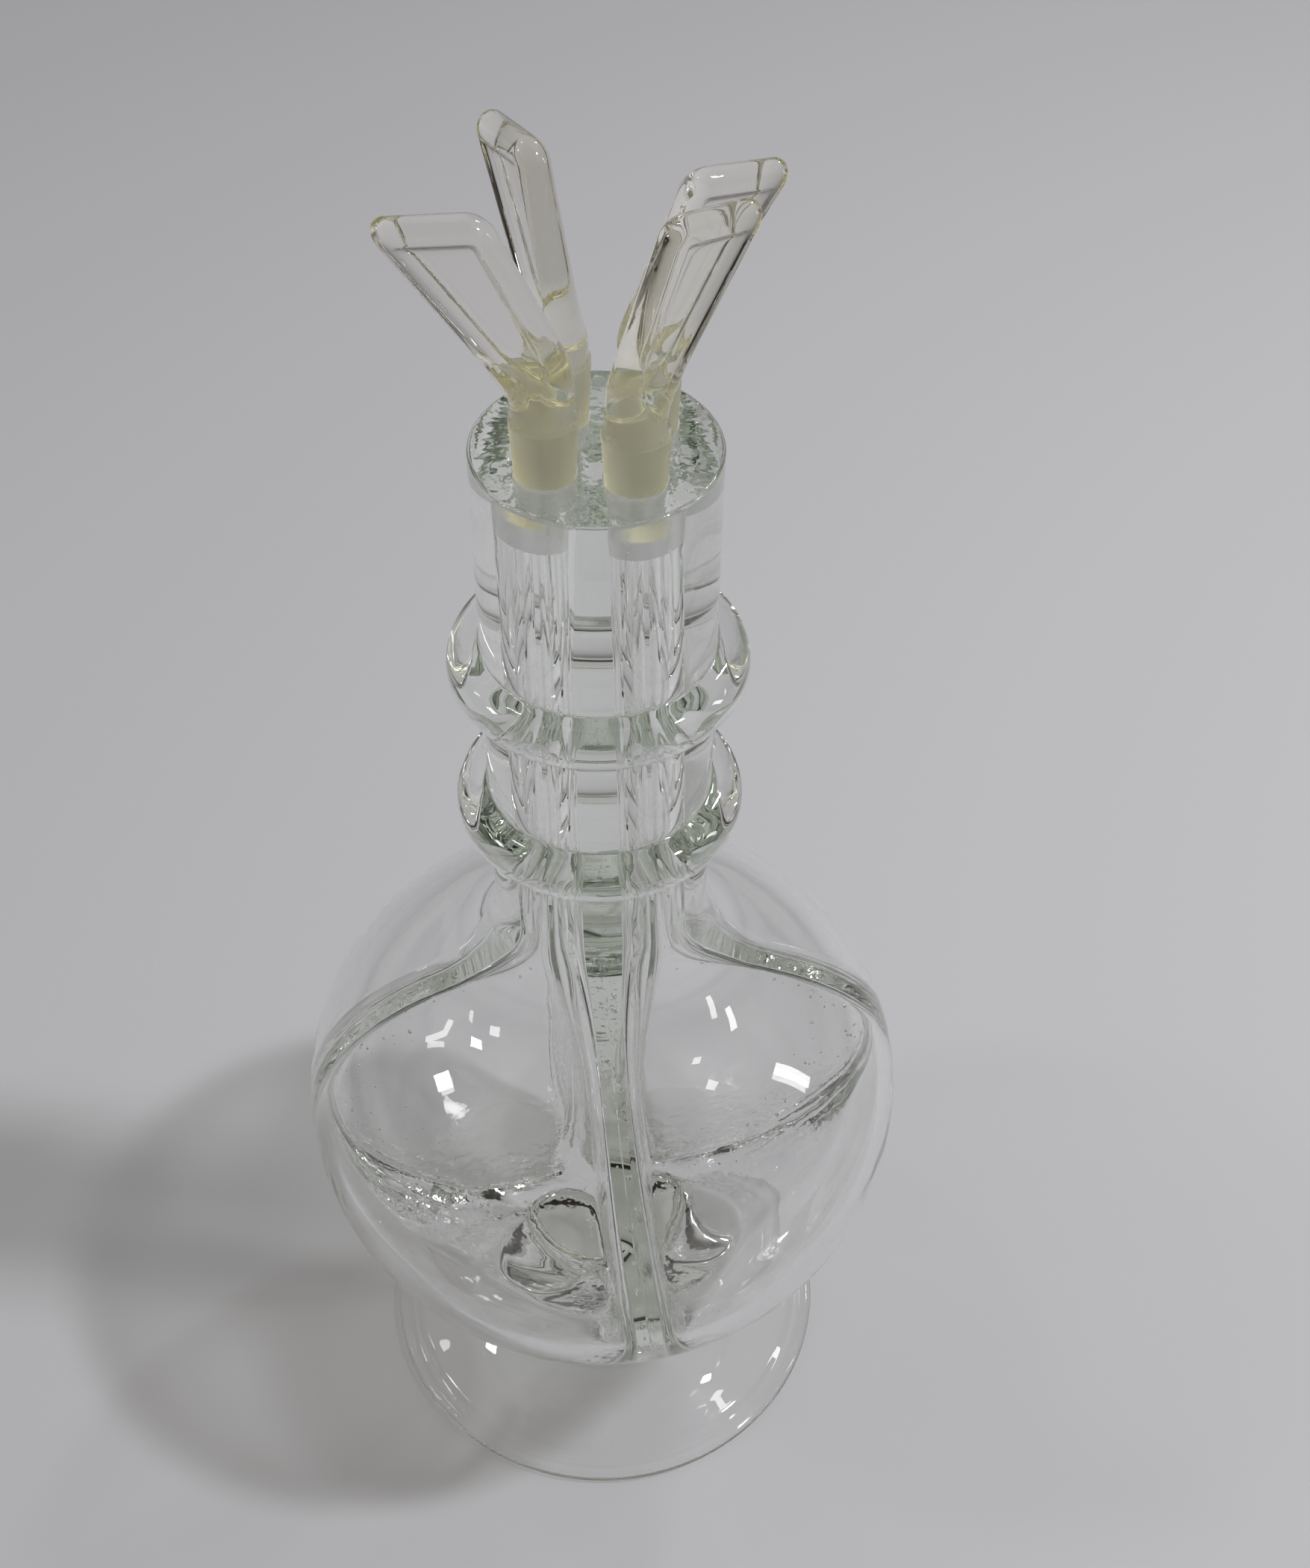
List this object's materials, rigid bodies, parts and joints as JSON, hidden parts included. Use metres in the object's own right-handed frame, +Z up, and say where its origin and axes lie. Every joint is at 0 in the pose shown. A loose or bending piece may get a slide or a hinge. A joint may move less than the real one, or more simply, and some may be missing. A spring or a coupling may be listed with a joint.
{
  "type": "decanter",
  "caption": "Footed glass liquor decanter: globe and straight neck parted by a twisting cross web into separate chambers, collars round the neck, and a flat-gripped ground stopper for each.",
  "frame": {"origin": "centre of the foot's resting ring, at table height", "axes": "+Z up along the neck, front of the decanter towards -Y; the web between the sockets runs along X and Y at the neck's top"},
  "size_m": [0.1446, 0.1446, 0.352],
  "materials": {
    "clear_glass": "fire-polished clear blown glass with a faint grey-green tint where it is thick",
    "straw_glass": "pale straw glass, polished grip, ground plug"
  },
  "bodies": {
    "vessel": {"foot": "clear_glass", "bottle_front_left": "clear_glass", "bottle_front_right": "clear_glass", "bottle_back_right": "clear_glass", "bottle_back_left": "clear_glass", "neck": "clear_glass", "upper_collar": "clear_glass", "lower_collar": "clear_glass"},
    "front_left_stopper": {"stopper_front_left": "straw_glass"},
    "front_right_stopper": {"stopper_front_right": "straw_glass"},
    "back_right_stopper": {"stopper_back_right": "straw_glass"},
    "back_left_stopper": {"stopper_back_left": "straw_glass"}
  },
  "joints": [
    {"name": "front_left_lift", "type": "slide", "parent": "vessel", "child": "front_left_stopper", "axis": [0, 0, 1], "range_m": [0, 0.03]},
    {"name": "front_right_lift", "type": "slide", "parent": "vessel", "child": "front_right_stopper", "axis": [0, 0, 1], "range_m": [0, 0.03]},
    {"name": "back_right_lift", "type": "slide", "parent": "vessel", "child": "back_right_stopper", "axis": [0, 0, 1], "range_m": [0, 0.03]},
    {"name": "back_left_lift", "type": "slide", "parent": "vessel", "child": "back_left_stopper", "axis": [0, 0, 1], "range_m": [0, 0.03]}
  ]
}
